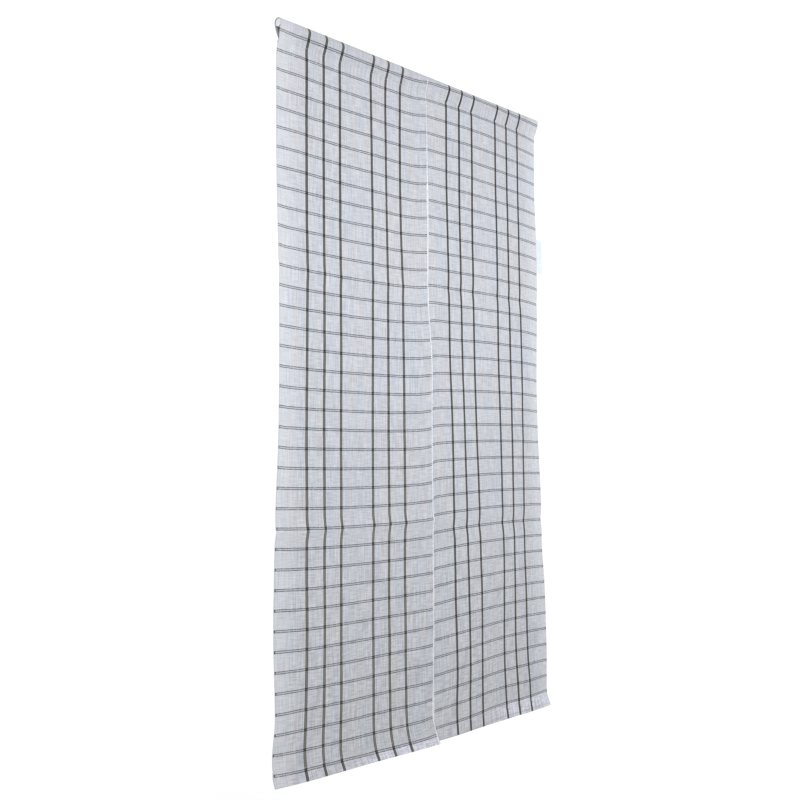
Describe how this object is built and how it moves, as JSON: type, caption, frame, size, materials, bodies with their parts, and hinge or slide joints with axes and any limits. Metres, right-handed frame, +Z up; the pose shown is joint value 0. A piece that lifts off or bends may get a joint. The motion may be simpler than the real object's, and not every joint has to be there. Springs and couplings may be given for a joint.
{
  "type": "noren curtain on a hanging rod",
  "caption": "Split doorway curtain in checked linen cloth: panels joined at the top, open below, hanging by a sewn pocket from a plain round rod.",
  "frame": {"origin": "middle of the rod's axis, level with the rod's ends, above the seam between the two panels", "axes": "+Z up, +X along the rod to the viewer's right, and the front of the cloth faces -Y"},
  "size_m": [0.8764, 0.055, 1.4894],
  "materials": {
    "check_cloth": "matte",
    "label_ribbon": "satin",
    "rod_finish": "satin"
  },
  "bodies": {
    "root": {"left_panel": "check_cloth", "right_panel": "check_cloth", "label": "label_ribbon", "rod": "rod_finish"}
  },
  "joints": []
}
